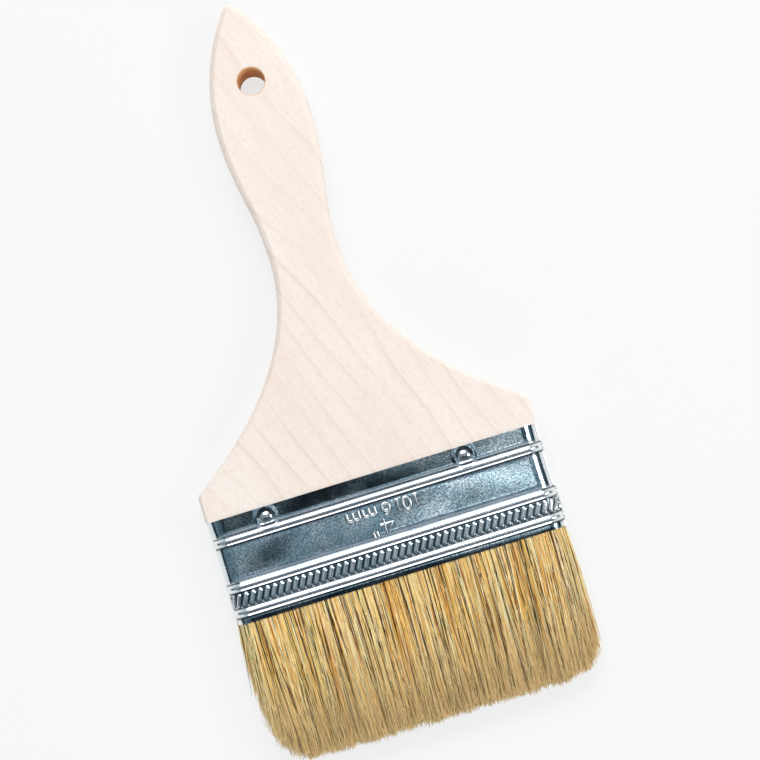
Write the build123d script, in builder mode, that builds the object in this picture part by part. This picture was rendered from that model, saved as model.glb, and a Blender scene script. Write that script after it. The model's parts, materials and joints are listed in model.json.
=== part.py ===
"""Flat 4 inch chip brush: hardwood handle, tinplate ferrule, nails, setting block, divider and bristle.

Millimetres. The brush lies flat: X runs across it, +Y points to the handle's tip, +Z is out of its front.
The origin is under the middle of the whole brush, on the surface that it lies on.
"""

import os
from math import cos, radians, sin

from build123d import *

# Ferrule: one tinplate strip wrapped to a flat oval, lapped and soldered on its right end
ferrule_width = 102.4
ferrule_thickness = 11.0
ferrule_height = 31.6
sheet = 0.3
lap_arc = 50.0
bead_height = 0.5
bead_width = 2.4
upper_bead_inset = 6.9
middle_bead_inset = 10.8
lower_bead_inset = 3.3
rope_inset = 7.1
rope_height = 0.35
rope_length = 3.6
rope_width = 1.0
rope_pitch = 2.2
rope_slant = 26.0

# Handle: flat board with a pointed grip, a waist and two cove shoulders
handle_length = 146.5
grip_width = 29.0
grip_inset = 38.0
neck_width = 20.7
neck_place = 69.0
shoulder_place = 8.4
shoulder_angle = 54.0
shoulder_round = 0.8
shoulder_step = 0.2
tip_radius = 2.2
edge_bevel_face = 2.0
edge_bevel_side = 2.8
hang_hole_diameter = 8.2
hang_hole_inset = 24.5
hang_hole_break = 0.3
tenon_length = 19.6

# Bristle knot: a setting block, a divider and two banks of bristle
setting_depth = 5.4
divider_thickness = 3.0
divider_end_gap = 7.9
divider_lip = 0.8
divider_grip = 4.0
bristle_length_out = 44.6
bristle_swell = 0.4
bristle_tip_thickness = 6.5
bristle_tip_draw = 3.0
bristle_corner_radius = 9.0

# Nails: two through each face, set from the same pattern on front and back
nail_insets = (17.8, 23.4)
nail_depths = (3.2, 3.0)
nail_head_diameter = 3.5
nail_head_height = 0.5
nail_shank_diameter = 1.2
nail_length = 8.0
nail_point = 1.6

# Clearances
handle_face_step = 0.1
tenon_clearance = 0.05
nail_clearance = 0.02
knot_clearance = 0.02

# Derived sizes
mid_z = ferrule_thickness / 2 + bead_height
overall_length = handle_length + ferrule_height + bristle_length_out
edge_y = overall_length / 2 - handle_length
end_radius = ferrule_thickness / 2
flat_half = ferrule_width / 2 - end_radius
bead_places = (upper_bead_inset, ferrule_height - middle_bead_inset, ferrule_height - lower_bead_inset)
rope_place = ferrule_height - rope_inset
bore_width = ferrule_width - 2 * sheet
bore_thickness = ferrule_thickness - 2 * sheet
shoulder_width = ferrule_width - 2 * shoulder_step
handle_thickness = ferrule_thickness - 2 * handle_face_step
grip_place = handle_length - grip_inset
hang_hole_place = handle_length - hang_hole_inset
tenon_width = bore_width - 2 * tenon_clearance
tenon_thickness = bore_thickness - 2 * tenon_clearance
setting_place = tenon_length + tenon_clearance
root_place = setting_place + setting_depth
knot_width = bore_width - 2 * knot_clearance
knot_thickness = bore_thickness - 2 * knot_clearance
divider_width = bore_width - 2 * divider_end_gap
mouth_place = ferrule_height
tip_place = mouth_place + bristle_length_out
nail_places = (
    (nail_insets[0] - ferrule_width / 2, nail_depths[0]),
    (ferrule_width / 2 - nail_insets[1], nail_depths[1]),
)


def along(distance):
    """Row Y of a place that lies so far from the ferrule's handle edge towards the bristle tips."""
    return edge_y - distance


def section_plane(distance):
    """A plane across the brush: its x is the row's X, its y is the row's Z, it faces the bristle tips."""
    return Plane(origin=(0, along(distance), mid_z), x_dir=(1, 0, 0), z_dir=(0, -1, 0))


def finish(piece, label):
    """Labels a finished piece and writes its STEP file."""
    piece.label = label
    export_step(piece, f"parts/{label}.step")


def nail_stations():
    """Each nail's name, its centre on the face of the ferrule, and the way its head points."""
    for face, turn in (("front", 1), ("rear", -1)):
        for side, (x, distance) in zip(("left", "right"), nail_places):
            centre = Vector(turn * x, along(distance), mid_z + turn * ferrule_thickness / 2)
            yield f"nail_{face}_{side}", Plane(origin=centre, x_dir=(1, 0, 0), z_dir=(0, 0, turn))


def nail_hole(station, depth):
    """A blind hole for a nail's shank, with its clearance, as a loose solid."""
    with BuildPart(station.offset(-depth), mode=Mode.PRIVATE) as hole:
        Cylinder(
            nail_shank_diameter / 2 + nail_clearance,
            depth + nail_head_height,
            align=(Align.CENTER, Align.CENTER, Align.MIN),
        )
    return hole.part


def handle_outline():
    """The handle's outline in plan, from the ferrule's edge round the tip and back."""
    half_grip = grip_width / 2
    half_neck = neck_width / 2
    half_shoulder = shoulder_width / 2
    rise = handle_length - tip_radius - grip_place
    side_radius = (half_grip**2 + rise**2 - tip_radius**2) / (2 * (half_grip - tip_radius))
    grip_y = along(-grip_place)
    tip_centre_y = along(tip_radius - handle_length)
    arc_centre = Vector(half_grip - side_radius, grip_y)
    tangent_way = (Vector(0, tip_centre_y) - arc_centre).normalized()
    tip_tangent = arc_centre + tangent_way * side_radius
    arc_middle = arc_centre + (tangent_way + Vector(1, 0)).normalized() * side_radius
    tip_middle = Vector(0, tip_centre_y) + (tangent_way + Vector(0, 1)).normalized() * tip_radius
    slope = Vector(sin(radians(shoulder_angle)), -cos(radians(shoulder_angle)))
    shoulder = Vector(half_shoulder, along(-shoulder_place))
    neck = Vector(half_neck, along(-neck_place))
    flare = neck_place - shoulder_place
    swell = grip_place - neck_place
    with BuildSketch(Plane.XY.offset(mid_z)) as plan:
        with BuildLine():
            Line((0, along(0)), (half_shoulder, along(0)))
            Line((half_shoulder, along(0)), shoulder)
            Bezier(shoulder, shoulder - slope * flare * 0.14, neck - Vector(0, flare * 0.56), neck)
            Bezier(
                neck,
                neck + Vector(0, swell * 0.42),
                Vector(half_grip, grip_y - swell * 0.42),
                Vector(half_grip, grip_y),
            )
            ThreePointArc((half_grip, grip_y), arc_middle, tip_tangent)
            ThreePointArc(tip_tangent, tip_middle, (0, along(-handle_length)))
            Line((0, along(-handle_length)), (0, along(0)))
        make_face()
        mirror(about=Plane.YZ)
    return plan.sketch


def is_shoulder_corner(edge):
    """True for the edges that run through the handle's thickness at its two shoulder corners."""
    start, end = edge.position_at(0), edge.position_at(1)
    at_corner = all(abs(p.Y - along(-shoulder_place)) < 1.5 * edge_bevel_face for p in (start, end))
    outside = all(abs(p.X) > shoulder_width / 2 - 1.5 * edge_bevel_face for p in (start, end))
    return at_corner and outside and abs(start.Z - end.Z) > edge_bevel_side / 2


def make_handle():
    """Flat board, bevelled all round both faces, with its hang hole and the tenon that the ferrule grips."""
    with BuildPart() as handle:
        extrude(handle_outline(), amount=handle_thickness / 2, both=True)
        for face in (handle.faces().sort_by(Axis.Z)[-1], handle.faces().sort_by(Axis.Z)[0]):
            rim = face.edges().filter_by(lambda edge: edge.center().Y > along(0) + 0.01)
            chamfer(rim, length=edge_bevel_face, length2=edge_bevel_side, reference=face)
        corners = handle.edges().filter_by(lambda edge: is_shoulder_corner(edge))
        fillet(corners, radius=shoulder_round)
        with BuildSketch(section_plane(0)):
            SlotOverall(tenon_width, tenon_thickness)
        extrude(amount=tenon_length)
        with Locations((0, along(-hang_hole_place), mid_z + handle_thickness / 2)):
            Hole(hang_hole_diameter / 2, depth=handle_thickness)
        rims = handle.edges().filter_by(GeomType.CIRCLE).filter_by(
            lambda edge: abs(edge.radius - hang_hole_diameter / 2) < 0.01
        )
        chamfer(rims, length=hang_hole_break)
        for _, station in nail_stations():
            add(nail_hole(station, nail_length + nail_clearance), mode=Mode.SUBTRACT)
    finish(handle.part, "handle")


def ferrule_wall(plane):
    """The sheet's section along the brush, with its three hollow beads, on a plane through the sheet."""
    half = bead_width / 2
    with BuildSketch(plane) as wall:
        with BuildLine():
            reached = 0.0
            for place in bead_places:
                Line((reached, 0), (place - half, 0))
                ThreePointArc((place - half, 0), (place, bead_height), (place + half, 0))
                reached = place + half
            Line((reached, 0), (ferrule_height, 0))
            Line((ferrule_height, 0), (ferrule_height, -sheet))
            reached = ferrule_height
            inner = half - sheet / 2
            for place in reversed(bead_places):
                Line((reached, -sheet), (place + inner, -sheet))
                ThreePointArc((place + inner, -sheet), (place, bead_height - sheet), (place - inner, -sheet))
                reached = place - inner
            Line((reached, -sheet), (0, -sheet))
            Line((0, -sheet), (0, 0))
        make_face()
    return wall.sketch


def wall_plane(x, turn, extra=0.0):
    """A plane with x to the bristle tips and y out of the ferrule, turned so far from +Z to +X."""
    out = Vector(sin(radians(turn)), 0, cos(radians(turn)))
    centre = Vector(x, along(0), mid_z) + out * (end_radius + extra)
    return Plane(origin=centre, x_dir=(0, -1, 0), z_dir=Vector(0, -1, 0).cross(out))


def rope_row(turn):
    """A row of slanted pips on one flat of the ferrule, between its two lower beads."""
    count = int(2 * flat_half // rope_pitch)
    middle = Vector(0, along(rope_place), mid_z + turn * (end_radius - sheet / 2))
    plane = Plane(origin=middle, x_dir=(1, 0, 0), z_dir=(0, 0, turn))
    with BuildSketch(plane) as row:
        with GridLocations(rope_pitch, 1, count, 1):
            SlotOverall(rope_length, rope_width, rotation=90 - rope_slant)
    return row.sketch


def make_ferrule():
    """Tinplate strip with beads and rope pips, closed by a soldered lap, drilled for the nails."""
    with BuildPart() as ferrule:
        for turn in (0, 180):
            extrude(ferrule_wall(wall_plane(0, turn)), amount=flat_half, both=True)
        for x, turn in ((flat_half, 0), (-flat_half, 180)):
            centre_line = Axis((x, 0, mid_z), (0, 1, 0))
            revolve(ferrule_wall(wall_plane(x, turn)), axis=centre_line, revolution_arc=180)
        lap = wall_plane(flat_half, 90 - lap_arc / 2, extra=sheet)
        revolve(ferrule_wall(lap), axis=Axis((flat_half, 0, mid_z), (0, 1, 0)), revolution_arc=lap_arc)
        for turn in (1, -1):
            extrude(rope_row(turn), amount=sheet / 2 + rope_height)
        for _, station in nail_stations():
            add(nail_hole(station, 2 * sheet), mode=Mode.SUBTRACT)
    finish(ferrule.part, "ferrule")


def make_nails():
    """Round-headed pins: a domed head on the sheet, a shank through it and a point in the wood."""
    head = nail_head_diameter / 2
    shank = nail_shank_diameter / 2
    for label, station in nail_stations():
        side = Plane(origin=station.origin, x_dir=(1, 0, 0), z_dir=-station.y_dir)
        with BuildPart() as nail:
            with BuildSketch(side):
                with BuildLine():
                    SagittaArc((-head, 0), (head, 0), nail_head_height)
                    Line((head, 0), (shank, 0))
                    Line((shank, 0), (shank, nail_point - nail_length))
                    Line((shank, nail_point - nail_length), (0, -nail_length))
                    Line((0, -nail_length), (-shank, nail_point - nail_length))
                    Line((-shank, nail_point - nail_length), (-shank, 0))
                    Line((-shank, 0), (-head, 0))
                make_face()
                Rectangle(2 * head, 2 * nail_length, align=(Align.MAX, Align.CENTER), mode=Mode.SUBTRACT)
            revolve(axis=Axis(station.origin, station.z_dir))
        finish(nail.part, label)


def make_setting():
    """Cured resin block that holds the bristle roots, with the slot that the divider stands in."""
    with BuildPart() as setting:
        with BuildSketch(section_plane(setting_place)):
            SlotOverall(knot_width, knot_thickness)
        extrude(amount=setting_depth)
        with BuildSketch(section_plane(root_place)):
            Rectangle(divider_width + 2 * knot_clearance, divider_thickness + 2 * knot_clearance)
        extrude(amount=-divider_grip - knot_clearance, mode=Mode.SUBTRACT)
    finish(setting.part, "setting_block")


def make_divider():
    """Thin wooden strip that parts the two banks of bristle and wedges them against the ferrule."""
    with BuildPart() as divider:
        with BuildSketch(section_plane(root_place - divider_grip)):
            Rectangle(divider_width, divider_thickness)
        extrude(amount=divider_grip + mouth_place - divider_lip - root_place)
    finish(divider.part, "divider")


def bank_section(distance, width, thickness, turn):
    """Half of a flat oval, on the front or the rear side of the brush's middle plane."""
    with BuildSketch(section_plane(distance)) as section:
        SlotOverall(width, thickness)
        keep = Align.MIN if turn > 0 else Align.MAX
        Rectangle(width, thickness, align=(Align.CENTER, keep), mode=Mode.INTERSECT)
    return section.sketch


def make_bank(label, turn):
    """One bank of bristle as a closed form: full in the middle, drawn in and rounded at the tips."""
    belly_width = knot_width + 2 * bristle_swell
    belly_thickness = knot_thickness + 2 * bristle_swell
    sections = (
        (mouth_place, knot_width, knot_thickness),
        (mouth_place + bristle_length_out * 0.6, belly_width, belly_thickness),
        (tip_place, knot_width - 2 * bristle_tip_draw, bristle_tip_thickness),
    )
    with BuildPart() as bank:
        loft([bank_section(*size, turn) for size in sections], ruled=True)
        with BuildSketch(Plane.XY.offset(mid_z)):
            with Locations((0, along(mouth_place))):
                RectangleRounded(belly_width, 2 * bristle_length_out, bristle_corner_radius)
        extrude(amount=ferrule_thickness, both=True, mode=Mode.INTERSECT)
        extrude(bank_section(root_place, knot_width, knot_thickness, turn), amount=mouth_place - root_place)
        with BuildSketch(section_plane(root_place)):
            Rectangle(divider_width + 2 * knot_clearance, divider_thickness + 2 * knot_clearance)
        extrude(amount=mouth_place - divider_lip + knot_clearance - root_place, mode=Mode.SUBTRACT)
    finish(bank.part, label)


os.makedirs("parts", exist_ok=True)
make_handle()
make_ferrule()
make_nails()
make_setting()
make_divider()
make_bank("bristle_front", 1)
make_bank("bristle_rear", -1)
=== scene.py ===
"""Visual model of a flat chip brush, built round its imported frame. Metres, in the frame's own axes."""

import json
import math

import bmesh
import bpy
import numpy as np
from mathutils import Matrix, Vector


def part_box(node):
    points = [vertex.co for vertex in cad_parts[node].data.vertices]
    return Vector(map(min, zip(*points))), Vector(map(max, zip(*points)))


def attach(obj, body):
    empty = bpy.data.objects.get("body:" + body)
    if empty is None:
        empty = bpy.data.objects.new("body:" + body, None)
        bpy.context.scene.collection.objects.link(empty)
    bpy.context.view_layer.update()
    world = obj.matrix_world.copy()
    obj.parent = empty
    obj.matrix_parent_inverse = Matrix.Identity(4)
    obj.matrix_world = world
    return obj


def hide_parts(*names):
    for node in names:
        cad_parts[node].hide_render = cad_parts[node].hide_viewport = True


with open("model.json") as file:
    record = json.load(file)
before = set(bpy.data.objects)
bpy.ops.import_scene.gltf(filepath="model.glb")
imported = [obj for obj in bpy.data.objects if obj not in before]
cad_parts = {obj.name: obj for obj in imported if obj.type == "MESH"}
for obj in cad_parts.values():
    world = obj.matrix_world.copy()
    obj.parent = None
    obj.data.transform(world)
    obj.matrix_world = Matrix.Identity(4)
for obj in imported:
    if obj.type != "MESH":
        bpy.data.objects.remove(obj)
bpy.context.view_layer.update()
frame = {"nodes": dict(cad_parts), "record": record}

MM = 0.001

# Places read from the frame
ferrule_low, ferrule_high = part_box("ferrule")
handle_low, handle_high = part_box("handle")
bank_low, bank_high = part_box("bristle_front")
hang_hole = next(m for m in frame["record"]["mounts"] if m["name"] == "hang_hole")
EDGE_Y = ferrule_high[1] / MM
MOUTH = (ferrule_high[1] - ferrule_low[1]) / MM
MID_Z = (ferrule_high[2] + ferrule_low[2]) / 2 / MM
HANDLE_TOP = handle_high[1] / MM - EDGE_Y
HANDLE_HALF = (handle_high[2] - handle_low[2]) / 2 / MM
SHOULDER_HALF = (handle_high[0] - handle_low[0]) / 2 / MM
BRISTLE_OUT = (ferrule_low[1] - bank_low[1]) / MM
ROOT = (ferrule_high[1] - bank_high[1]) / MM
HOLE_UP = hang_hole["pos_m"][1] / MM - EDGE_Y
HOLE_RADIUS = hang_hole["dims"]["r_mm"]

# Sizes of the sheet, in millimetres
SHEET = 0.3
BEAD_HEIGHT = 0.5
END_RADIUS = (ferrule_high[2] - ferrule_low[2]) / 2 / MM - BEAD_HEIGHT
FLAT_HALF = -ferrule_low[0] / MM - BEAD_HEIGHT - END_RADIUS
PERIMETER = 4 * FLAT_HALF + 2 * math.pi * END_RADIUS
LAP_ARC = math.radians(50.0)
BEADS = (6.9, 20.8, 28.3)
ROPE_CENTRE = 24.5
ROPE_TALL = 3.7
ROPE_RADIUS = 0.68
ROPE_HEIGHT = 0.36
ROPE_SLANT = math.radians(26.0)
ROPE_COUNT = 99
ROPE_BAND = 2.2
COLUMNS = 1089
NAILS = ((-33.4, 3.2), (27.8, 3.0))

# Sizes of the board, in millimetres
TENON_LENGTH = 19.6
TENON_CLEARANCE = 0.05
TENON_INTO_BOARD = 0.4
HOLE_BREAK = 0.3

# How much of the floor's look is glow, to the camera and in reflections
FLOOR_GLOW = 0.75


# Helpers for meshes and nodes

MATH = "ShaderNodeMath"
SPAN = "ShaderNodeMapRange"
MIX = "ShaderNodeMix"
NOISE = "ShaderNodeTexNoise"
VECTOR = "ShaderNodeVectorMath"
XYZ = "ShaderNodeCombineXYZ"
STRETCH = "ShaderNodeMapping"
RAMP = "ShaderNodeValToRGB"
PRINCIPLED = "ShaderNodeBsdfPrincipled"


def linear(code):
    """Turns an sRGB hex colour into linear red, green, blue and alpha."""
    parts = [int(code[i : i + 2], 16) / 255 for i in (1, 3, 5)]
    return (*[c / 12.92 if c <= 0.04045 else ((c + 0.055) / 1.055) ** 2.4 for c in parts], 1.0)


def add(tree, kind, *feeds, stops=(), **settings):
    """Adds a node with its settings and, on a colour ramp, its stops.

    Feeds go to its sockets in order, and a dictionary at the end goes to the sockets that it names. A feed
    is a value, a socket, or a node, which then gives its first live output.
    """
    node = tree.nodes.new(kind)
    for name, value in settings.items():
        setattr(node, name, value)
    for number, (place, code) in enumerate(stops):
        elements = node.color_ramp.elements
        element = elements[number] if number < 2 else elements.new(place)
        element.position = place
        element.color = linear(code)
    sockets = dict(enumerate(feeds))
    if feeds and isinstance(feeds[-1], dict):
        sockets.update(sockets.pop(len(feeds) - 1))
    for key, value in sockets.items():
        if isinstance(value, bpy.types.Node):
            value = next(s for s in value.outputs if s.enabled)
        if isinstance(value, bpy.types.NodeSocket):
            tree.links.new(value, node.inputs[key])
        else:
            node.inputs[key].default_value = value
    return node


def new_material(name):
    """A material with an empty tree, and that tree."""
    material = bpy.data.materials.new(name)
    material.use_nodes = True
    material.node_tree.nodes.clear()
    return material, material.node_tree


def new_object(name, mesh):
    """Links a mesh into the scene as an object at the origin."""
    obj = bpy.data.objects.new(name, mesh)
    bpy.context.scene.collection.objects.link(obj)
    return obj


def new_piece(name, mesh, material, slot, *nodes):
    """Makes a mesh a piece that rides on the brush, in a material, standing for CAD nodes. The slot is not
    used.
    """
    obj = new_object(name, mesh)
    obj.data.materials.clear()
    obj.data.materials.append(material)
    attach(obj, "root")
    if nodes:
        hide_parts(*nodes)
    return obj


def grid_mesh(name, points):
    """A quad mesh over a grid of points (rows, columns, 3), where each row closes on itself."""
    rows, columns = points.shape[:2]
    index = np.arange(rows * columns).reshape(rows, columns)
    index = np.concatenate([index, index[:, :1]], axis=1)
    quads = np.stack([index[:-1, :-1], index[:-1, 1:], index[1:, 1:], index[1:, :-1]], axis=-1)
    mesh = bpy.data.meshes.new(name)
    mesh.from_pydata((points.reshape(-1, 3) * MM).tolist(), [], quads.reshape(-1, 4).tolist())
    return mesh


def bridge(bm, low, high):
    """Joins two closed loops of vertices with a band of quads."""
    for i in range(len(low)):
        j = (i + 1) % len(low)
        bm.faces.new((low[i], low[j], high[j], high[i]))


def tidy_mesh(mesh, merge_mm, angle):
    """Merges doubles, turns the faces outwards and smooths all but the sharp edges."""
    bm = bmesh.new()
    bm.from_mesh(mesh)
    bmesh.ops.remove_doubles(bm, verts=bm.verts, dist=merge_mm * MM)
    bmesh.ops.recalc_face_normals(bm, faces=bm.faces)
    bm.to_mesh(mesh)
    bm.free()
    mesh.shade_smooth()
    mesh.set_sharp_from_angle(angle=math.radians(angle))


# Materials


def bare_maple():
    """Maple, planed and sanded, left bare: pale pink cream with thin tan growth lines and a dull surface."""
    material, tree = new_material("maple_sanded_bare")
    coords = add(tree, "ShaderNodeTexCoord").outputs["Object"]
    turned = add(tree, STRETCH, {"Vector": coords, "Rotation": (0, 0, math.radians(-22.0))})
    cloud = {}
    for name, stretch, grain_mm, detail in (
        ("warp", 0.35, 26.0, 1.0),
        ("patch", 0.3, 14.0, 2.0),
        ("broad", 0.25, 18.0, 2.0),
        ("fibre", 0.05, 0.5, 2.0),
        ("speck", 0.5, 0.8, 1.0),
    ):
        drawn = add(tree, STRETCH, {"Vector": turned, "Scale": (1, stretch, 1)})
        cloud[name] = add(tree, NOISE, {"Vector": drawn, "Scale": 1 / (grain_mm * MM), "Detail": detail})
    sideways = add(tree, XYZ, {"X": add(tree, SPAN, cloud["warp"], 0.0, 1.0, -9 * MM, 9 * MM)})
    rings = add(
        tree,
        "ShaderNodeTexWave",
        {
            "Vector": add(tree, VECTOR, turned, sideways, operation="ADD"),
            "Scale": 0.314 / (6.6 * MM),
            "Distortion": 1.2,
            "Detail": 2.0,
            "Detail Scale": 0.6,
        },
        wave_type="BANDS",
        bands_direction="X",
        wave_profile="SAW",
    )
    line = add(tree, MATH, rings.outputs["Fac"], 9.0, operation="POWER")
    strength = add(tree, SPAN, cloud["patch"], 0.35, 0.65, 0.1, 0.55)
    colour = add(tree, RAMP, cloud["broad"], stops=((0.3, "#F8E5D8"), (0.7, "#FDF0E5")))
    for factor, code in (
        (add(tree, MATH, line, strength, operation="MULTIPLY"), "#DFC0A8"),
        (add(tree, SPAN, cloud["fibre"], 0.35, 0.7, 0.0, 0.2), "#E6CDBB"),
        (add(tree, SPAN, cloud["speck"], 0.5, 0.75, 0.0, 0.35), "#EBD1C2"),
    ):
        colour = add(tree, MIX, factor, {6: colour, 7: linear(code)}, data_type="RGBA")
    flat = add(tree, VECTOR, coords, (1, 1, 0), operation="MULTIPLY")
    centre = (0.0, (EDGE_Y + HOLE_UP) * MM, 0.0)
    reach = add(tree, VECTOR, flat, centre, operation="DISTANCE").outputs["Value"]
    inside = add(tree, SPAN, reach, (HOLE_RADIUS + 0.05) * MM, (HOLE_RADIUS + 0.3) * MM, 1.0, 0.0)
    wall = add(tree, MIX, cloud["speck"], {6: linear("#E09A52"), 7: linear("#F2C892")}, data_type="RGBA")
    colour = add(tree, MIX, inside, {6: colour, 7: wall}, data_type="RGBA")
    raised = add(tree, "ShaderNodeBump", {"Height": cloud["fibre"], "Strength": 0.25, "Distance": 0.05 * MM})
    shader = add(
        tree,
        PRINCIPLED,
        {"Base Color": colour, "Roughness": 0.62, "Specular IOR Level": 0.3, "Normal": raised},
    )
    add(tree, "ShaderNodeOutputMaterial", shader)
    return material


def rolled_tinplate():
    """Tinplate, cold rolled and pressed: speckled blue-grey flats, a painted highlight on the raised work, a
    painted reflection on the outer strips of the rounded ends, and painted shade in the creases.
    """
    material, tree = new_material("tinplate_rolled")
    coords = add(tree, "ShaderNodeTexCoord").outputs["Object"]
    raised = add(tree, "ShaderNodeAttribute", attribute_name="raised").outputs["Fac"]
    crease_shade = add(tree, "ShaderNodeAttribute", attribute_name="crease_shade").outputs["Fac"]
    cloud = add(tree, NOISE, {"Vector": coords, "Scale": 1 / (9.0 * MM), "Detail": 3.0, "Roughness": 0.6})
    speck = add(tree, NOISE, {"Vector": coords, "Scale": 1 / (0.5 * MM), "Detail": 3.0, "Roughness": 0.75})
    flat = add(tree, MATH, 1.0, raised, operation="SUBTRACT")
    spread = add(tree, SPAN, speck, 0.44, 0.58, 0.0, 0.75)
    colour = add(tree, RAMP, cloud, stops=((0.3, "#A3BCC6"), (0.5, "#C6D7DE"), (0.7, "#EAF1F3")))
    for factor, code in (
        (add(tree, MATH, spread, flat, operation="MULTIPLY"), "#4F6B79"),
        # Painted highlight: the raised work and the outer end strips are made lighter than the flats
        (raised, "#EEF0F1"),
        # Painted shade in the creases of the pressed work
        (crease_shade, "#28333A"),
    ):
        colour = add(tree, MIX, factor, {6: colour, 7: linear(code)}, data_type="RGBA")
    grain = add(tree, MATH, speck, flat, operation="MULTIPLY")
    rough = add(tree, SPAN, cloud, 0.3, 0.7, 0.1, 0.16)
    shader = add(
        tree,
        PRINCIPLED,
        {
            "Base Color": colour,
            "Metallic": 1.0,
            "Roughness": add(tree, MATH, raised, 0.1, rough, operation="MULTIPLY_ADD"),
            "Normal": add(tree, "ShaderNodeBump", {"Height": grain, "Strength": 0.4, "Distance": 0.02 * MM}),
        },
    )
    add(tree, "ShaderNodeOutputMaterial", shader)
    return material


def highlit_figure_tinplate():
    """Tinplate for the pressed figures: a paler copy of the sheet as a painted highlight on the strokes, with
    painted shade low round their feet.
    """
    material, tree = new_material("tinplate_painted_highlight")
    coords = add(tree, "ShaderNodeTexCoord").outputs["Object"]
    highlight_mottle = add(tree, NOISE, {"Vector": coords, "Scale": 1 / (0.5 * MM), "Detail": 2.0})
    # Painted highlight: the figures get a paler tin than the sheet
    colour = add(tree, RAMP, highlight_mottle, stops=((0.3, "#DDE2E4"), (0.7, "#FAFBFB")))
    height = add(tree, "ShaderNodeSeparateXYZ", coords).outputs["Z"]
    # Painted shade low on each stroke, where it meets the sheet
    foot = (MID_Z + END_RADIUS + 0.16) * MM
    foot_shade = add(tree, SPAN, height, foot, foot + 0.05 * MM, 1.0, 0.0)
    colour = add(tree, MIX, foot_shade, {6: colour, 7: linear("#28333A")}, data_type="RGBA")
    shader = add(tree, PRINCIPLED, {"Base Color": colour, "Metallic": 1.0, "Roughness": 0.3})
    add(tree, "ShaderNodeOutputMaterial", shader)
    return material


def tinned_nail():
    """Steel wire, cold headed and tinned: a bright little dome with faint tool marks."""
    material, tree = new_material("steel_headed_tinned")
    coords = add(tree, "ShaderNodeTexCoord").outputs["Object"]
    mark = add(tree, NOISE, {"Vector": coords, "Scale": 1 / (0.4 * MM), "Detail": 2.0})
    colour = add(tree, RAMP, mark, stops=((0.3, "#B4B6B5"), (0.7, "#E4E4E0")))
    dented = add(tree, "ShaderNodeBump", {"Height": mark, "Strength": 0.3, "Distance": 0.03 * MM})
    feeds = {"Base Color": colour, "Metallic": 1.0, "Roughness": 0.16, "Normal": dented}
    shader = add(tree, PRINCIPLED, feeds)
    add(tree, "ShaderNodeOutputMaterial", shader)
    return material


def cast_epoxy():
    """Epoxy, poured and cured round the bristle roots: amber, glossy, with cloudy patches."""
    material, tree = new_material("epoxy_cast")
    coords = add(tree, "ShaderNodeTexCoord").outputs["Object"]
    patch = add(tree, NOISE, {"Vector": coords, "Scale": 1 / (3.0 * MM), "Detail": 2.0})
    colour = add(tree, RAMP, patch, stops=((0.3, "#8A5A22"), (0.7, "#B98A45")))
    shader = add(tree, PRINCIPLED, {"Base Color": colour, "Roughness": 0.25})
    add(tree, "ShaderNodeOutputMaterial", shader)
    return material


def sawn_spruce():
    """Spruce, sawn thin: yellow wood with close straight grain and a rough face."""
    material, tree = new_material("spruce_sawn")
    coords = add(tree, "ShaderNodeTexCoord").outputs["Object"]
    drawn = add(tree, STRETCH, {"Vector": coords, "Scale": (0.05, 1, 1)})
    grain = add(tree, NOISE, {"Vector": drawn, "Scale": 1 / (0.6 * MM), "Detail": 2.0})
    colour = add(tree, RAMP, grain, stops=((0.35, "#CDA877"), (0.65, "#E4C79B")))
    torn = add(tree, "ShaderNodeBump", {"Height": grain, "Strength": 0.4, "Distance": 0.1 * MM})
    shader = add(tree, PRINCIPLED, {"Base Color": colour, "Roughness": 0.75, "Normal": torn})
    add(tree, "ShaderNodeOutputMaterial", shader)
    return material


def boiled_hog_bristle():
    """Hog bristle, boiled and dried straight: blond hairs, some red or nearly black, with pale split tips."""
    material, tree = new_material("hog_bristle_boiled")
    coords = add(tree, "ShaderNodeTexCoord").outputs["Object"]
    tone = add(tree, "ShaderNodeAttribute", attribute_name="tone").outputs["Fac"]
    along = add(tree, "ShaderNodeAttribute", attribute_name="along").outputs["Fac"]
    drawn = add(tree, STRETCH, {"Vector": coords, "Scale": (1, 0.2, 1)})
    fleck = add(tree, NOISE, {"Vector": drawn, "Scale": 1 / (0.5 * MM), "Detail": 2.0})
    pale = add(tree, SPAN, along, 0.5, 1.0, 0.0, 1.0)
    light_hair = add(tree, SPAN, tone, 0.06, 0.2, 0.25, 1.0)
    colour = add(
        tree,
        RAMP,
        tone,
        stops=(
            (0.0, "#24170F"),
            (1.0, "#FFF3CC"),
            (0.07, "#3A261C"),
            (0.12, "#8E5228"),
            (0.2, "#E29A3E"),
            (0.38, "#FFC75C"),
            (0.62, "#FFE598"),
        ),
    )
    for factor, code in (
        (add(tree, MATH, pale, light_hair, operation="MULTIPLY"), "#FFE2A6"),
        (add(tree, SPAN, fleck, 0.48, 0.7, 0.0, 0.3), "#CB963A"),
    ):
        colour = add(tree, MIX, factor, {6: colour, 7: linear(code)}, data_type="RGBA")
    shader = add(tree, PRINCIPLED, {"Base Color": colour, "Roughness": 0.42, "Specular IOR Level": 0.45})
    add(tree, "ShaderNodeOutputMaterial", shader)
    return material


# Handle


def cubic(points, t):
    """Points on a cubic curve with four control points."""
    p0, p1, p2, p3 = (np.array(p, float) for p in points)
    t = t[:, None]
    return (1 - t) ** 3 * p0 + 3 * t * (1 - t) ** 2 * p1 + 3 * t**2 * (1 - t) * p2 + t**3 * p3


def arc(centre, radius, start, end, count):
    """Points on an arc, its angles in radians."""
    turn = np.linspace(start, end, count)
    return np.stack([centre[0] + radius * np.cos(turn), centre[1] + radius * np.sin(turn)], axis=1)


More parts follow.
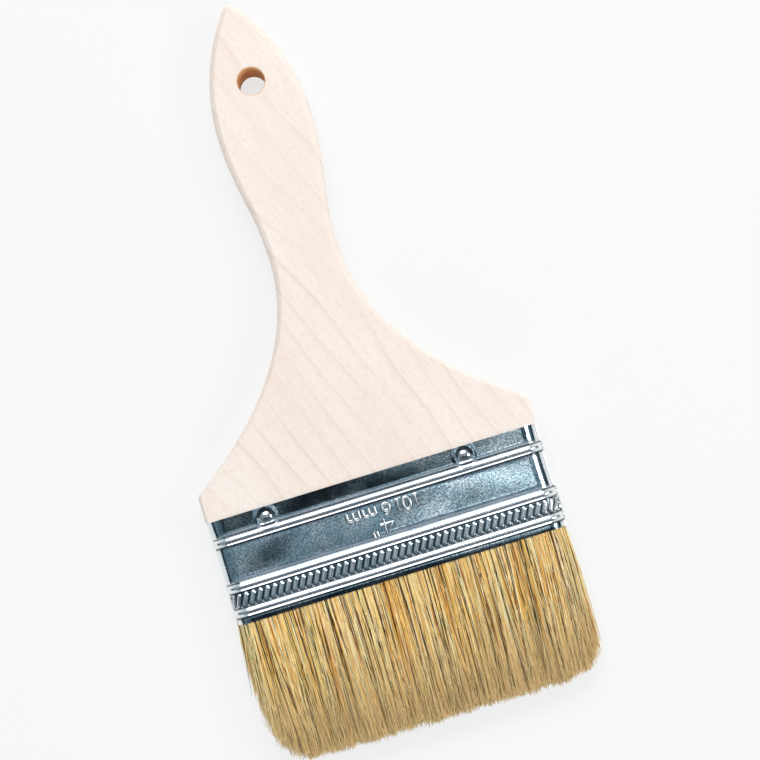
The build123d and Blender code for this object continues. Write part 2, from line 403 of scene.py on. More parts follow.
def half_outline():
    """The handle's right side in plan, from the ferrule up to the tip: x, and height above the ferrule."""
    grip, neck, tip = 14.5, 10.35, 2.2
    grip_up, neck_up, shoulder_up = HANDLE_TOP - 38.0, 69.0, 8.4
    slope = math.radians(54.0)
    corner_pull, cove_pull, neck_pull, waist_pull = 0.4, 0.14, 0.56, 0.42
    rise = HANDLE_TOP - tip - grip_up
    side = (grip**2 + rise**2 - tip**2) / (2 * (grip - tip))
    meet = math.atan2(rise, side - grip)
    flare = neck_up - shoulder_up
    swell = grip_up - neck_up
    way = np.array([-math.sin(slope), math.cos(slope)])
    corner = np.array([SHOULDER_HALF, shoulder_up])
    cut = 1.1
    space_over, space_under = 0.3, 0.4
    below, above = corner - (0, cut * corner_pull), corner + way * cut * corner_pull
    rounded = cubic((corner - (0, cut), below, above, corner + way * cut), np.linspace(0, 1, 9))
    above, below = corner + way * flare * cove_pull, (neck, neck_up - flare * neck_pull)
    cove = cubic((corner, above, below, (neck, neck_up)), np.linspace(0, 1, 90))
    cove = cove[cove[:, 1] > rounded[-1, 1] + space_over]
    above, below = (neck, neck_up + swell * waist_pull), (grip, grip_up - swell * waist_pull)
    waist = cubic(((neck, neck_up), above, below, (grip, grip_up)), np.linspace(0, 1, 50))
    point = arc((grip - side, grip_up), side, 0.0, meet, 50)
    cap = arc((0, HANDLE_TOP - tip), tip, meet, math.pi / 2, 14)
    edge = np.stack([np.full(12, SHOULDER_HALF), np.linspace(0, shoulder_up - cut - space_under, 12)], axis=1)
    return np.concatenate([edge, rounded, cove, waist[1:], point[1:], cap[1:]])


def outward(points):
    """Unit normals of an open line of points that runs with its outside on the right."""
    step = np.gradient(points, axis=0)
    normal = np.stack([step[:, 1], -step[:, 0]], axis=1)
    return normal / np.linalg.norm(normal, axis=1)[:, None]


def handle_mesh():
    """Two closed shells: the board, with its rounded bevels and hang hole, and the tenon."""
    right = half_outline()
    normal = outward(right)
    normal[0] = (1, 0)
    normal[-1] = (0, 1)
    bevel_up, bevel_wide, bevel_deep = (0, 10, 40, 75, 146), (0.9, 0.9, 1.3, 1.7, 1.7), 1.35
    face_width = np.interp(right[:, 1], bevel_up, bevel_wide)
    line = np.concatenate([right, (right * (-1, 1))[-2::-1]])
    normals = np.concatenate([normal, (normal * (-1, 1))[-2::-1]])
    width = np.concatenate([face_width, face_width[-2::-1]])
    last = math.radians(62.0)
    turns = np.linspace(0, last, 7)
    bm = bmesh.new()
    loops = []
    for turn, side in [(t, -1) for t in turns[::-1]] + [(t, 1) for t in turns]:
        inset = width * (1 - math.cos(turn)) / (1 - math.cos(last))
        drop = width * bevel_deep * (1 - math.sin(turn) / math.sin(last))
        place = line - normals * inset[:, None]
        place[[0, -1], 1] = 0.0
        height = MID_Z + side * (HANDLE_HALF - drop)
        loops.append([bm.verts.new((p[0] * MM, (EDGE_Y + p[1]) * MM, z * MM)) for p, z in zip(place, height)])
    for low, high in zip(loops, loops[1:]):
        bridge(bm, low, high)
    rim, level = HOLE_RADIUS + HOLE_BREAK, HANDLE_HALF - HOLE_BREAK
    levels = ((-HANDLE_HALF, rim), (-level, HOLE_RADIUS), (level, HOLE_RADIUS), (HANDLE_HALF, rim))
    rings = []
    for height, radius in levels:
        circle = arc((0, EDGE_Y + HOLE_UP), radius, 0, 2 * math.pi, 73)[:-1]
        rings.append([bm.verts.new((x * MM, y * MM, (MID_Z + height) * MM)) for x, y in circle])
    for low, high in zip(rings, rings[1:]):
        bridge(bm, high, low)
    for outer, inner in ((loops[0], rings[0]), (loops[-1], rings[-1])):
        edges = []
        for loop in (outer, inner):
            for i, vert in enumerate(loop):
                edges.append(bm.edges.get((vert, loop[(i + 1) % len(loop)])))
        bmesh.ops.triangle_fill(bm, use_beauty=True, use_dissolve=False, edges=edges)
    ends = []
    for down in (-TENON_INTO_BOARD, TENON_LENGTH):
        section = stadium_section(END_RADIUS - SHEET - TENON_CLEARANCE, 96)
        ends.append([bm.verts.new((x * MM, (EDGE_Y - down) * MM, (MID_Z + z) * MM)) for x, z in section])
    bridge(bm, *ends)
    for end in ends:
        bm.faces.new(end)
    mesh = bpy.data.meshes.new("handle_board")
    bm.to_mesh(mesh)
    bm.free()
    tidy_mesh(mesh, 0.0001, 20.0)
    return mesh


# Ferrule


def stadium(distance, radius, raised=0.0):
    """Points round the flat oval: x and z at each distance along it, clockwise from the front's middle."""
    straight = 2 * FLAT_HALF
    bend = math.pi * END_RADIUS
    s = np.mod(distance + FLAT_HALF, 2 * (straight + bend))
    out = radius + raised
    second = s >= straight + bend
    t = np.where(second, s - straight - bend, s)
    on_flat = t <= straight
    turn = np.where(on_flat, 0.0, (t - straight) / END_RADIUS)
    x = np.where(on_flat, t - FLAT_HALF, FLAT_HALF) + out * np.sin(turn)
    z = out * np.cos(turn)
    flip = np.where(second, -1.0, 1.0)
    return np.stack([x * flip, z * flip], axis=-1)


def stadium_section(radius, count):
    """A closed flat oval of points."""
    return stadium(np.arange(count) * PERIMETER / count, radius)


def bump(t, power=1.3):
    """A hump one unit high between -1 and 1."""
    return np.maximum(0.0, 1 - t**2) ** power


def rope_reach(s, down):
    """Distance from the nearest rope slash's centre line, in slash radii."""
    pitch = PERIMETER / ROPE_COUNT
    dy = down - ROPE_CENTRE
    off = np.mod(s + dy * math.tan(ROPE_SLANT) + pitch / 2, pitch) - pitch / 2
    across = off * math.cos(ROPE_SLANT)
    length = ROPE_TALL / 2 / math.cos(ROPE_SLANT) - ROPE_RADIUS
    along = np.maximum(np.abs(-dy / math.cos(ROPE_SLANT) + off * math.sin(ROPE_SLANT)) - length, 0.0)
    return np.hypot(across, along) / ROPE_RADIUS


def pressed_work(s, down):
    """Height of the beads and rope over the flat, with how raised each place is and where painted shade goes
    at the feet of the beads and slashes; the raised share also holds a painted reflection on the outer strips
    of the rounded ends.
    """
    bead_half = 1.3
    lip_up, lip_half, lip_height = 1.85, 0.4, 0.16
    groove_up, groove_half, groove_depth = 1.42, 0.22, 0.07
    trough_down, trough_half, trough_depth = 1.55, 0.4, 0.08
    height = np.zeros(np.broadcast(s, down).shape)
    past = np.maximum(np.mod(s + FLAT_HALF, PERIMETER / 2) - 2 * FLAT_HALF, 0.0)
    # Where the rounded ends turn most towards the sides, the sheet is made lighter through the raised share:
    # a painted reflection of the pale floor, not wear
    reflection_from, reflection_fade, painted_reflection = 0.68, 0.08, 0.8
    bend = np.clip((np.sin(past / END_RADIUS) - reflection_from) / reflection_fade, 0.0, 1.0)
    raised = painted_reflection * bend * np.ones(height.shape)
    crease_shade = np.zeros(height.shape)
    for bead in BEADS:
        d = down - bead
        crown = bump(d / bead_half, 1.2)
        lip = bump((d + lip_up) / lip_half)
        height = height + BEAD_HEIGHT * crown + lip_height * lip
        height = height - groove_depth * bump((d + groove_up) / groove_half)
        height = height - trough_depth * bump((d - trough_down) / trough_half)
        # Raised share, which the material turns into a painted highlight
        raised = np.maximum(raised, np.maximum(np.minimum(2 * crown, 1.0), lip))
        # Painted shade in the grooves at the foot of each bead, on both sides
        crease_shade = np.maximum(crease_shade, np.maximum(bump((d + 1.38) / 0.3), 0.9 * bump((d - 1.45) / 0.5)))
    reach = rope_reach(s, down)
    height = height + ROPE_HEIGHT * bump(np.minimum(reach, 1.0), 0.9)
    raised = np.maximum(raised, np.clip(2.2 - 2.2 * reach, 0.0, 1.0))
    # Painted shade in a ring round each rope slash
    slash_shade = 0.95 * bump((reach - 1.35) / 0.5)
    crease_shade = np.where(np.abs(down - ROPE_CENTRE) < ROPE_BAND, np.maximum(crease_shade, slash_shade), crease_shade)
    return height, raised, crease_shade


def relief(s, down):
    """Height of the pressed sheet over its flat: raised work, nail dents, lap seam and gentle waves."""
    rim_reach, rim_half, rim_height = 2.9, 0.9, 0.13
    dent_radius, dent_depth = 2.3, 0.05
    height = pressed_work(s, down)[0]
    half = PERIMETER / 2
    for x, depth in NAILS:
        for centre in (x, x + half):
            gap = np.mod(s - centre + half, PERIMETER) - half
            reach = np.hypot(gap, down - depth)
            rim = rim_height * bump((reach - rim_reach) / rim_half)
            height = height + rim - dent_depth * bump(reach / dent_radius)
    lap_middle = FLAT_HALF + math.pi * END_RADIUS / 2
    lap_half, lap_step = LAP_ARC / 2 * END_RADIUS, 0.2
    lap = np.clip((lap_half - np.abs(s - lap_middle)) / lap_step + 0.5, 0.0, 1.0)
    height = height + SHEET * lap
    wave = 0.0
    for tall, across, along, start in ((0.05, 6.1, 5.0, 0.0), (0.04, 9.7, -3.7, 1.0), (0.02, 3.3, 2.4, 2.0)):
        wave = wave + tall * np.sin(s / across + down / along + start)
    wave_middle, wave_reach, wave_share = 14.0, 14.5, 0.9
    wave = wave * bump((down - wave_middle) / wave_reach, 0.5) * wave_share
    flare, flare_down, sunk = 0.26, 5.0, 0.12
    flared = flare * np.clip(1 - down / flare_down, 0, 1) - sunk
    draw, draw_from, draw_over = -0.14, 29.6, 2.0
    drawn = draw * np.clip((down - draw_from) / draw_over, 0, 1)
    return height + wave + flared + drawn


def ferrule_rows():
    """Places of the rows down the sheet, close where the relief is fine."""
    rim, shortest = 0.08, 0.3
    fine_step, nail_step, plain_step = 0.27, 0.45, 0.75
    rows = [0.0, rim]
    while rows[-1] < MOUTH - shortest:
        here = rows[-1]
        fine = any(-2.4 < here - bead < 2.0 for bead in BEADS) or abs(here - ROPE_CENTRE) < ROPE_BAND
        near_nail = 1.0 < here < 5.6
        rows.append(here + (fine_step if fine else nail_step if near_nail else plain_step))
    rows[-1] = MOUTH - rim
    return np.array(rows + [MOUTH])


def ring(s, down, height):
    """One closed row of points on the oval, at a height over the flat."""
    flat = stadium(s, END_RADIUS, height)
    return np.stack([flat[:, 0], np.full(len(s), EDGE_Y - down), MID_Z + flat[:, 1]], axis=1)


def ferrule_mesh():
    """The pressed strip as one closed shell: relief outside, plain wall inside, thin rims at both edges."""
    s = np.arange(COLUMNS) * PERIMETER / COLUMNS - FLAT_HALF
    rows = ferrule_rows()
    skin = [ring(s, down, relief(s, np.full(COLUMNS, down))) for down in rows]
    rim, burr = 0.1, 0.04
    inner = -SHEET * np.ones(COLUMNS)
    for down, thinned in ((MOUTH, burr), (MOUTH - rim, 0.0), (rim, 0.0), (0.0, burr)):
        skin.append(ring(s, down, inner + thinned))
    skin.append(skin[0])
    mesh = grid_mesh("ferrule_sheet", np.array(skin))
    down, along = np.meshgrid(rows, s, indexing="ij")
    looks = dict(zip(("raised", "crease_shade"), pressed_work(along, down)[1:]))
    for name, values in looks.items():
        whole = np.zeros((len(skin), COLUMNS))
        whole[: len(rows)] = values
        attribute = mesh.attributes.new(name, "FLOAT", "POINT")
        attribute.data.foreach_set("value", whole.ravel())
    tidy_mesh(mesh, 0.001, 40.0)
    return mesh


# Pressed size figures, read with the bristles upwards


def oval(cx, cy, rx, ry, start=0.0, end=360.0, count=25):
    """Points on part of an oval, in the figure's own square."""
    turn = np.radians(np.linspace(start, end, count))
    return [(cx + rx * math.cos(t), cy + ry * math.sin(t)) for t in turn]


FIGURES = {
    "1": [[(0.22, 0.8), (0.5, 1.0), (0.5, 0.0)], [(0.25, 0.0), (0.75, 0.0)]],
    "0": [oval(0.5, 0.5, 0.38, 0.5)],
    "6": [oval(0.5, 0.3, 0.38, 0.3), oval(0.95, 0.32, 0.83, 0.68, 110, 178, 12)],
    "4": [[(0.7, 0.0), (0.7, 1.0), (0.08, 0.3), (0.98, 0.3)]],
    ".": [[(0.3, 0.02), (0.5, 0.02)], [(0.3, 0.08), (0.5, 0.08)]],
    "m": [
        [(0.08, 0.0), (0.08, 0.62)],
        oval(0.29, 0.42, 0.21, 0.2, 180, 0, 9) + [(0.5, 0.0)],
        oval(0.71, 0.42, 0.21, 0.2, 180, 0, 9) + [(0.92, 0.0)],
    ],
    '"': [[(0.3, 1.0), (0.36, 0.66)], [(0.7, 1.0), (0.76, 0.66)]],
}

# Each figure's left edge as it is read, how far its foot is from the ferrule's handle edge, its width and
# its height, in millimetres
SIZE_MARK = (
    ("1", 11.4, 9.5, 2.0, 3.6),
    ("0", 8.9, 9.5, 2.8, 3.6),
    ("1", 5.9, 9.5, 2.0, 3.6),
    (".", 3.9, 9.5, 1.0, 3.6),
    ("6", 2.6, 9.5, 2.8, 3.6),
    ("m", -1.8, 9.5, 4.3, 3.6),
    ("m", -6.7, 9.5, 4.3, 3.6),
    ("4", 2.5, 13.9, 4.4, 4.5),
    ('"', -2.4, 13.9, 2.8, 4.5),
)
STROKE_RADIUS = 0.66
STROKE_SUNK = 0.3


def size_mark_mesh():
    """The nominal width in millimetres and in inches, as round strokes sunk part way into the sheet."""
    curve = bpy.data.curves.new("size_mark", "CURVE")
    curve.dimensions = "3D"
    curve.bevel_depth = STROKE_RADIUS * MM
    curve.bevel_resolution = 3
    curve.use_fill_caps = True
    centre = MID_Z + END_RADIUS - STROKE_SUNK
    for figure, start, foot, wide, tall in SIZE_MARK:
        for stroke in FIGURES[figure]:
            spline = curve.splines.new("POLY")
            spline.points.add(len(stroke) - 1)
            for point, (u, v) in zip(spline.points, stroke):
                place = (start - u * wide, EDGE_Y - foot - v * tall, centre)
                point.co = (*[c * MM for c in place], 1.0)
    obj = new_object("size_mark_curve", curve)
    mesh = bpy.data.meshes.new_from_object(obj.evaluated_get(bpy.context.evaluated_depsgraph_get()))
    bpy.data.objects.remove(obj)
    mesh.name = "size_mark"
    tidy_mesh(mesh, 0.001, 60.0)
    return mesh


# Bristle

# How far hairs run and drift, in millimetres
HAIR_CLEARANCE = 0.3
TRIMMED = 0.6
LOCK_RUN = 0.7
RAGGED_RUN = 1.7
SHORT_RUN = 8.0
INNER_RUN = 1.2
CORNER_WEAR = (28.0, 7.5)
SPREAD = 1.0
EDGE_DRIFT = (0.3, -2.2)
LOCK_DRIFT = 1.1
TUFT_DRIFT = 0.5
BOW = 0.9

# Shares: PINCH and BELLY of a hair's depth in its bank, SIDEWAYS of its spread, STIFF of its run inside the
# ferrule, TIP_LOSS of its thickness; STREAK is how far a streak of like hairs shifts the tone
PINCH = -0.16
BELLY = 0.09
SIDEWAYS = 2.6
STIFF = 0.8
TIP_LOSS = 0.55
STREAK = 0.08


def bristle_tree(material):
    """Geometry nodes that root hairs in one bank of the ferrule's mouth and run them out to ragged tips."""
    tree = bpy.data.node_groups.new("bristle_bank", "GeometryNodeTree")
    face = tree.interface
    face.new_socket("Geometry", in_out="OUTPUT", socket_type="NodeSocketGeometry")
    face.new_socket("Hairs", in_out="INPUT", socket_type="NodeSocketInt")
    face.new_socket("Seed", in_out="INPUT", socket_type="NodeSocketInt")
    for name in ("Bank Side", "From X", "To X", "Hair Radius", "Stray", "Inner Depth", "Darkest", "Palest"):
        face.new_socket(name, in_out="INPUT", socket_type="NodeSocketFloat")
    given = add(tree, "NodeGroupInput").outputs

    # Each hair's own random numbers; a bell is the mean of two of them
    chance = {}
    for number, (name, least, most) in enumerate(
        (
            ("x", given["From X"], given["To X"]),
            ("depth", given["Inner Depth"], 1.0),
            ("short", 0.0, 1.0),
            ("tone", given["Darkest"], given["Palest"]),
            ("thick", 0.75, 1.25),
            ("sway_a", -1.0, 1.0),
            ("sway_b", -1.0, 1.0),
            ("lift_a", -1.0, 1.0),
            ("lift_b", -1.0, 1.0),
            ("bow_a", -1.0, 1.0),
            ("bow_b", -1.0, 1.0),
            ("tip_a", -1.0, 1.0),
            ("tip_b", -1.0, 1.0),
        )
    ):
        seed = add(tree, MATH, given["Seed"], float(number), operation="ADD")
        feeds = {2: least, 3: most, "Seed": seed}
        chance[name] = add(tree, "FunctionNodeRandomValue", feeds, data_type="FLOAT")
    bell = {}
    for name in ("sway", "lift", "bow", "tip"):
        total = add(tree, MATH, chance[name + "_a"], chance[name + "_b"], operation="ADD")
        bell[name] = add(tree, MATH, total, 0.5, operation="MULTIPLY")

    # Smooth noise over the brush's width, which neighbouring hairs share
    x = chance["x"]
    shared = {}
    for name, size_mm, offset in (("lock", 5.0, 3.0), ("tuft", 1.3, 7.0), ("streak", 0.7, 29.0)):
        place = add(tree, MATH, x, offset, operation="ADD")
        feeds = {"W": place, "Scale": 1 / (size_mm * MM), "Detail": 1.0}
        wave = add(tree, NOISE, feeds, noise_dimensions="1D")
        shared[name] = add(tree, SPAN, wave, 0.25, 0.75, -1.0, 1.0)

    # Roots fill the bank's share of the bore
    past = add(tree, MATH, add(tree, MATH, x, operation="ABSOLUTE"), FLAT_HALF * MM, operation="SUBTRACT")
    past = add(tree, MATH, past, 0.0, operation="MAXIMUM")
    square = add(tree, MATH, past, past, operation="MULTIPLY")
    bore = (END_RADIUS - SHEET - HAIR_CLEARANCE) * MM
    left = add(tree, MATH, add(tree, MATH, bore**2, square, operation="SUBTRACT"), 0.0, operation="MAXIMUM")
    room = add(tree, MATH, left, operation="SQRT")
    deep = add(tree, MATH, chance["depth"], room, operation="MULTIPLY")
    z = add(tree, MATH, deep, given["Bank Side"], operation="MULTIPLY")
    root = add(tree, XYZ, {"X": x, "Z": z})

    # How far each hair runs out: worn corners, ragged locks, and a few short ones
    side = add(tree, MATH, x, (FLAT_HALF + END_RADIUS) * MM, operation="DIVIDE")
    corner = add(tree, MATH, add(tree, MATH, side, operation="ABSOLUTE"), 18.0, operation="POWER")
    worn = add(tree, SPAN, side, -1.0, 1.0, CORNER_WEAR[0] * MM, CORNER_WEAR[1] * MM)
    few = add(tree, MATH, chance["short"], 2.0, operation="POWER")
    length = (BRISTLE_OUT - TRIMMED + MOUTH - ROOT) * MM
    for amount, scale in (
        (add(tree, MATH, corner, worn, operation="MULTIPLY"), -1.0),
        (shared["lock"], LOCK_RUN * MM),
        (bell["tip"], RAGGED_RUN * MM),
        (few, -SHORT_RUN * MM),
        (chance["depth"], -INNER_RUN * MM),
    ):
        length = add(tree, MATH, amount, scale, length, operation="MULTIPLY_ADD")

    # How far each tip drifts from its root
    spread = add(tree, MATH, SPREAD * MM, given["Stray"], operation="ADD")
    wide = add(tree, MATH, spread, SIDEWAYS, operation="MULTIPLY")
    shift = add(tree, SPAN, side, -1.0, 1.0, EDGE_DRIFT[0] * MM, EDGE_DRIFT[1] * MM)
    locks, tufts = (shared["lock"], LOCK_DRIFT * MM), (shared["tuft"], TUFT_DRIFT * MM)
    for amount, scale in ((bell["sway"], wide), locks, tufts):
        shift = add(tree, MATH, amount, scale, shift, operation="MULTIPLY_ADD")
    drawn = add(tree, MATH, z, PINCH, operation="MULTIPLY")
    lift = add(tree, MATH, bell["lift"], spread, drawn, operation="MULTIPLY_ADD")
    loose = add(tree, MATH, BOW * MM, given["Stray"], operation="ADD")
    bow_x = add(tree, MATH, bell["bow"], loose, operation="MULTIPLY")
    bow_z = add(tree, MATH, z, BELLY, operation="MULTIPLY")
    tone = add(tree, MATH, shared["streak"], STREAK, chance["tone"], operation="MULTIPLY_ADD", use_clamp=True)

    flow = add(tree, "GeometryNodePoints", given["Hairs"], root)
    for name, kind, value in (
        ("root", "FLOAT_VECTOR", root),
        ("sway", "FLOAT_VECTOR", add(tree, XYZ, {"X": shift, "Z": lift})),
        ("bow", "FLOAT_VECTOR", add(tree, XYZ, {"X": bow_x, "Z": bow_z})),
        ("reach", "FLOAT", length),
        ("tone", "FLOAT", tone),
        ("thick", "FLOAT", chance["thick"]),
    ):
        feeds = {"Geometry": flow, "Name": name, "Value": value}
        flow = add(tree, "GeometryNodeStoreNamedAttribute", feeds, data_type=kind, domain="POINT")
    straight = add(tree, "GeometryNodeCurvePrimitiveLine", {"Start": (0, 0, 0), "End": (0, -1, 0)})
    bent = add(tree, "GeometryNodeResampleCurve", {"Curve": straight, "Count": 5})
    hairs = add(tree, "GeometryNodeInstanceOnPoints", {"Points": flow, "Instance": bent})
    real = add(tree, "GeometryNodeRealizeInstances", hairs)

    # Each hair is bent from its root by what its point holds
    held = {}
    for name in ("root", "sway", "bow", "reach", "thick"):
        kind = "FLOAT" if name in ("reach", "thick") else "FLOAT_VECTOR"
        held[name] = add(tree, "GeometryNodeInputNamedAttribute", {"Name": name}, data_type=kind)
    t = add(tree, "GeometryNodeSplineParameter").outputs["Factor"]
    mouth_share = (MOUTH - ROOT) / (MOUTH - ROOT + BRISTLE_OUT) * STIFF
    free = add(tree, SPAN, t, mouth_share, 1.0)
    swing = add(tree, MATH, free, 1.4, operation="POWER")
    arch = add(tree, MATH, add(tree, MATH, free, math.pi, operation="MULTIPLY"), operation="SINE")
    run = add(tree, MATH, held["reach"], add(tree, MATH, t, -1.0, operation="MULTIPLY"), operation="MULTIPLY")
    place = add(tree, VECTOR, held["root"], (0.0, (EDGE_Y - ROOT) * MM, MID_Z * MM), operation="ADD")
    for part in (
        add(tree, XYZ, {"Y": run}),
        add(tree, VECTOR, held["sway"], {3: swing}, operation="SCALE"),
        add(tree, VECTOR, held["bow"], {3: arch}, operation="SCALE"),
    ):
        place = add(tree, VECTOR, place, part, operation="ADD")
    moved = add(tree, "GeometryNodeSetPosition", {"Geometry": real, "Position": place})
    feeds = {"Geometry": moved, "Name": "along", "Value": t}
    kept = add(tree, "GeometryNodeStoreNamedAttribute", feeds, data_type="FLOAT", domain="POINT")

    # A tapered three-sided hair
    thin = add(tree, MATH, t, 4.0, operation="POWER")
    thin = add(tree, MATH, thin, -TIP_LOSS, 1.0, operation="MULTIPLY_ADD")
    radius = add(tree, MATH, given["Hair Radius"], held["thick"], operation="MULTIPLY")
    radius = add(tree, MATH, radius, thin, operation="MULTIPLY")
    section = add(tree, "GeometryNodeCurvePrimitiveCircle", {"Resolution": 3, "Radius": 1.0}, mode="RADIUS")
    feeds = {"Curve": kept, "Profile Curve": section, "Scale": radius, "Fill Caps": True}
    smooth = add(tree, "GeometryNodeSetShadeSmooth", add(tree, "GeometryNodeCurveToMesh", feeds))
    whole = add(tree, "GeometryNodeRealizeInstances", smooth)
    painted = add(tree, "GeometryNodeSetMaterial", {"Geometry": whole, "Material": material})
    add(tree, "NodeGroupOutput", painted)
    return tree


def grow(tree, name, values):
    """Runs the bristle tree with its inputs set and returns the plain mesh."""
    holder = new_object(name + "_maker", bpy.data.meshes.new(name + "_maker"))
    modifier = holder.modifiers.new("hairs", "NODES")
    modifier.node_group = tree
    for item in tree.interface.items_tree:
        if item.in_out == "INPUT":
            modifier[item.identifier] = values[item.name]
    graph = bpy.context.evaluated_depsgraph_get()
    mesh = bpy.data.meshes.new_from_object(holder.evaluated_get(graph), depsgraph=graph)
    holder.modifiers.clear()
    bpy.data.objects.remove(holder)
    mesh.name = name
    for attribute in [a.name for a in mesh.attributes if a.name in ("root", "sway", "bow", "reach", "thick")]:
        mesh.attributes.remove(mesh.attributes[attribute])
    return mesh


def make_bristle(material):
    """Two halves of each bank, then a few dark and a few pale hairs that lie over each face."""
    tree = bristle_tree(material)
    edge = FLAT_HALF + END_RADIUS - SHEET - 0.15
    # Name, hairs, from x, to x, hair radius, stray, inner depth, darkest tone, palest tone
    kinds = (
        ("left", 6900, -edge, 0.0, 0.17, 0.0, 0.0, 0.06, 1.0),
        ("right", 6900, 0.0, edge, 0.17, 0.0, 0.0, 0.06, 1.0),
        ("dark", 300, -edge, edge, 0.13, 0.3, 0.93, -0.1, 0.06),
        ("pale", 520, -edge, edge, 0.11, 1.2, 0.85, 0.5, 1.0),
    )
    for bank, turn in (("front", 1.0), ("rear", -1.0)):
        for number, (kind, hairs, low, high, radius, stray, inner, darkest, palest) in enumerate(kinds):
            name = f"bristle_{bank}_{kind}"
            given = {
                "Hairs": hairs,
                "Seed": 100 * number + (10 if turn > 0 else 1000),
                "Bank Side": turn,
                "From X": low * MM,
                "To X": high * MM,
                "Hair Radius": radius * MM,
                "Stray": stray * MM,
                "Inner Depth": inner,
                "Darkest": darkest,
                "Palest": palest,
            }
            new_piece(name, grow(tree, name, given), material, "bristle", f"bristle_{bank}")


# Stage, light and camera


def make_stage():
    """A plain pale floor, which keeps the brush's shadow and glows to the camera and in reflections."""
    size = 3.0
    mesh = bpy.data.meshes.new("floor")
    corners = [(-size, -size, 0), (size, -size, 0), (size, size, 0), (-size, size, 0)]
    mesh.from_pydata(corners, [], [(0, 1, 2, 3)])
    floor = new_object("floor", mesh)
    material, tree = new_material("paper_matt_white")
    path = add(tree, "ShaderNodeLightPath").outputs
    seen = add(tree, MATH, path["Is Camera Ray"], path["Is Glossy Ray"], operation="MAXIMUM")
    seen = add(tree, MATH, seen, path["Is Transmission Ray"], operation="MAXIMUM")
    paper = add(tree, "ShaderNodeBsdfDiffuse", linear("#E4E4E2"))
    glow = add(tree, "ShaderNodeEmission", linear("#FFFFFF"), 1.0)
    share = add(tree, MATH, seen, FLOOR_GLOW, operation="MULTIPLY")
    add(tree, "ShaderNodeOutputMaterial", add(tree, "ShaderNodeMixShader", share, paper, glow))
    floor.data.materials.append(material)


def make_world():
    """Banded light, pale past the handle and dark past the bristle, with three soft windows.

    Its low walls are pale past both ends of the brush and dark at its sides. The camera alone sees it
    plain white.
    """
    world = bpy.data.worlds.new("studio")
    bpy.context.scene.world = world
    world.use_nodes = True
    tree = world.node_tree
    tree.nodes.clear()
    way = add(tree, "ShaderNodeTexCoord").outputs["Generated"]
    parts = add(tree, "ShaderNodeSeparateXYZ", way).outputs
    slant = add(tree, MATH, parts["X"], 0.06, parts["Y"], operation="MULTIPLY_ADD")
    colour = add(
        tree,
        RAMP,
        add(tree, SPAN, slant, -0.5, 0.5),
        stops=(
            (0.1, "#5A6571"),
            (1.0, "#C9D0D5"),
            (0.27, "#2C353C"),
            (0.32, "#0E1316"),
            (0.425, "#12191D"),
            (0.45, "#92A9B5"),
            (0.51, "#B2C3CB"),
            (0.58, "#8C98A8"),
            (0.72, "#97A3B2"),
        ),
    )
    for centre, radius, strength in (
        ((0.105, -0.125, 0.98), 0.075, 0.75),
        ((0.075, -0.03, 0.99), 0.04, 0.45),
        ((-0.11, -0.03, 0.99), 0.07, 0.35),
    ):
        reach = add(tree, VECTOR, way, centre, operation="DISTANCE").outputs["Value"]
        window = add(tree, SPAN, reach, radius, 0.3 * radius, 0.0, strength, interpolation_type="SMOOTHSTEP")
        colour = add(tree, MIX, window, {6: colour, 7: linear("#E6EDF0")}, data_type="RGBA")
    across = add(tree, MATH, parts["X"], operation="ABSOLUTE")
    endways = add(tree, MATH, parts["Y"], operation="ABSOLUTE")
    low = add(tree, SPAN, parts["Z"], 0.5, 0.25, 0.0, 1.0)
    off_end = add(tree, SPAN, endways, 0.2, 0.45, 0.0, 1.0)
    seen = add(tree, "ShaderNodeLightPath").outputs["Is Camera Ray"]
    for factor, code in (
        (add(tree, SPAN, across, 0.25, 0.9, 0.0, 1.0), "#7C929C"),
        (add(tree, SPAN, parts["Z"], 0.4, 0.15, 0.0, 1.0), "#0B1013"),
        (add(tree, MATH, low, off_end, operation="MULTIPLY"), "#F0F2F2"),
        (seen, "#FBFBFA"),
    ):
        colour = add(tree, MIX, factor, {6: colour, 7: linear(code)}, data_type="RGBA")
    light = add(tree, "ShaderNodeBackground", colour, 1.0)
    add(tree, "ShaderNodeOutputWorld", light)


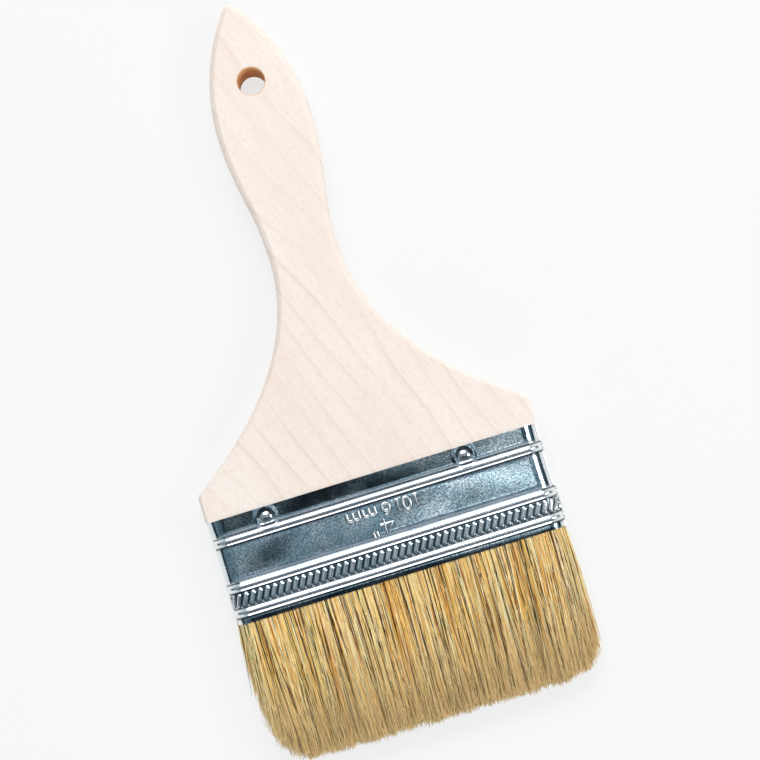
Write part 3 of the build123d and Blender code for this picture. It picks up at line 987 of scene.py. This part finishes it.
def make_lamp(name, place, wide, deep, power):
    """A soft flat lamp that faces the brush."""
    lamp = bpy.data.lights.new(name, "AREA")
    lamp.shape = "RECTANGLE"
    lamp.size = wide
    lamp.size_y = deep
    lamp.energy = power
    obj = new_object(name, lamp)
    obj.location = place
    obj.rotation_euler = (Vector((0, 0, 0)) - Vector(place)).to_track_quat("-Z", "Y").to_euler()


def make_camera():
    """Looks nearly straight down, rolled so that the handle leans to the left."""
    camera = bpy.data.cameras.new("camera")
    camera.lens = 67.43
    camera.shift_y = 0.06
    camera.clip_start = 0.01
    obj = new_object("camera", camera)
    place = Vector((3.87, -34.3, 431.5)) * MM
    target = Vector((6.67, -22.41, 11.5)) * MM
    roll = 0.2974
    ahead = (target - place).normalized()
    right = ahead.cross(Vector((math.sin(roll), math.cos(roll), 0))).normalized()
    up = right.cross(ahead)
    turn = Matrix((right, up, -ahead)).transposed().to_4x4()
    obj.matrix_world = Matrix.Translation(place) @ turn
    bpy.context.scene.camera = obj


# The brush

maple = bare_maple()
tinplate = rolled_tinplate()
nail_steel = tinned_nail()
bristle_hair = boiled_hog_bristle()
cad_materials = {"setting_block": cast_epoxy(), "divider": sawn_spruce()}
for corner in ("front_left", "front_right", "rear_left", "rear_right"):
    cad_materials[f"nail_{corner}"] = nail_steel
for node, material in cad_materials.items():
    data = frame["nodes"][node].data
    data.materials.clear()
    data.materials.append(material)

new_piece("handle_board", handle_mesh(), maple, "handle_wood", "handle")
new_piece("ferrule_sheet", ferrule_mesh(), tinplate, "tinplate", "ferrule")
new_piece("size_mark", size_mark_mesh(), highlit_figure_tinplate(), "tinplate")
make_bristle(bristle_hair)

make_stage()
make_world()
make_lamp("lamp_top", (0.05, 0.72, 0.88), 0.9, 0.42, 7.6)
make_lamp("lamp_right", (0.85, -0.1, 0.7), 0.3, 0.3, 3.1)
make_lamp("lamp_strip", (0.14, -0.09, 1.2), 0.03, 0.3, 0.1)
make_lamp("lamp_foot", (0.0, -0.9, 0.4), 0.8, 0.3, 2.9)
make_camera()

bpy.context.scene.view_settings.view_transform = "Standard"
